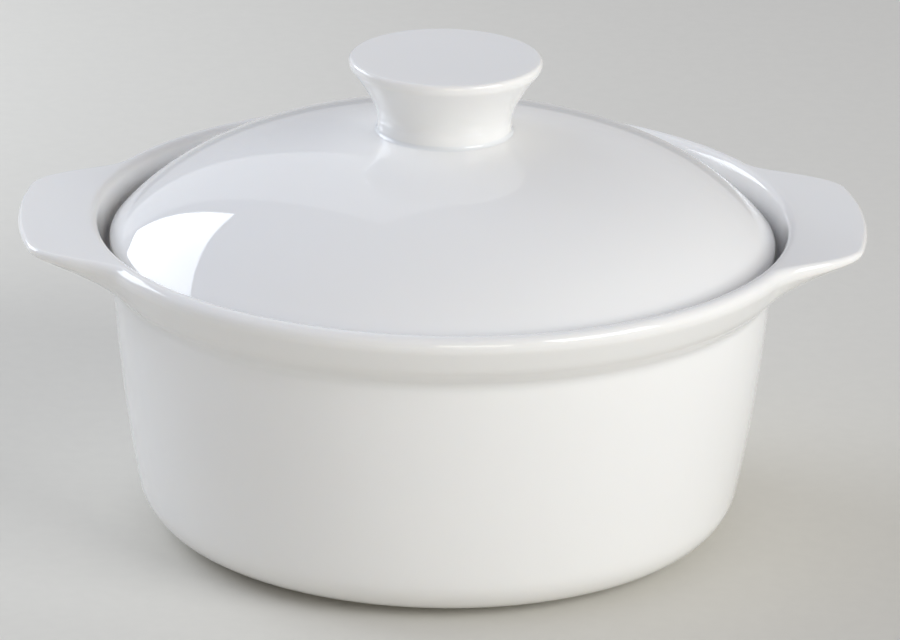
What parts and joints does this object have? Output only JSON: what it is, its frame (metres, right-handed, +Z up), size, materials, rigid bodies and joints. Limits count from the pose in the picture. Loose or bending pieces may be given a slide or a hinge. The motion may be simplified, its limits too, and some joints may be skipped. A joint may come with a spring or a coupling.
{
  "type": "individual casserole with lid",
  "caption": "Round glazed porcelain casserole with flat lugs drawn out of its rim and a domed lift-off lid with a flared knob, for baking and serving an individual portion.",
  "frame": {"origin": "centre of the foot ring, on the surface that the pot stands on", "axes": "+X through the middle of a lug, +Y away from the viewer, +Z up along the axis of the pot"},
  "size_m": [0.1628, 0.14, 0.0939],
  "materials": {
    "pot_porcelain": "clear gloss glaze over white porcelain, foot ring wiped bare",
    "lid_porcelain": "clear gloss glaze over white porcelain, seat wiped bare",
    "knob_porcelain": "clear gloss glaze over white porcelain"
  },
  "bodies": {
    "pot": {"pot": "pot_porcelain"},
    "lid": {"lid": "lid_porcelain", "knob": "knob_porcelain"}
  },
  "joints": [
    {"name": "lid_lift", "type": "slide", "parent": "pot", "child": "lid", "axis": [0, 0, 1], "range_m": [0, 0.1]}
  ]
}
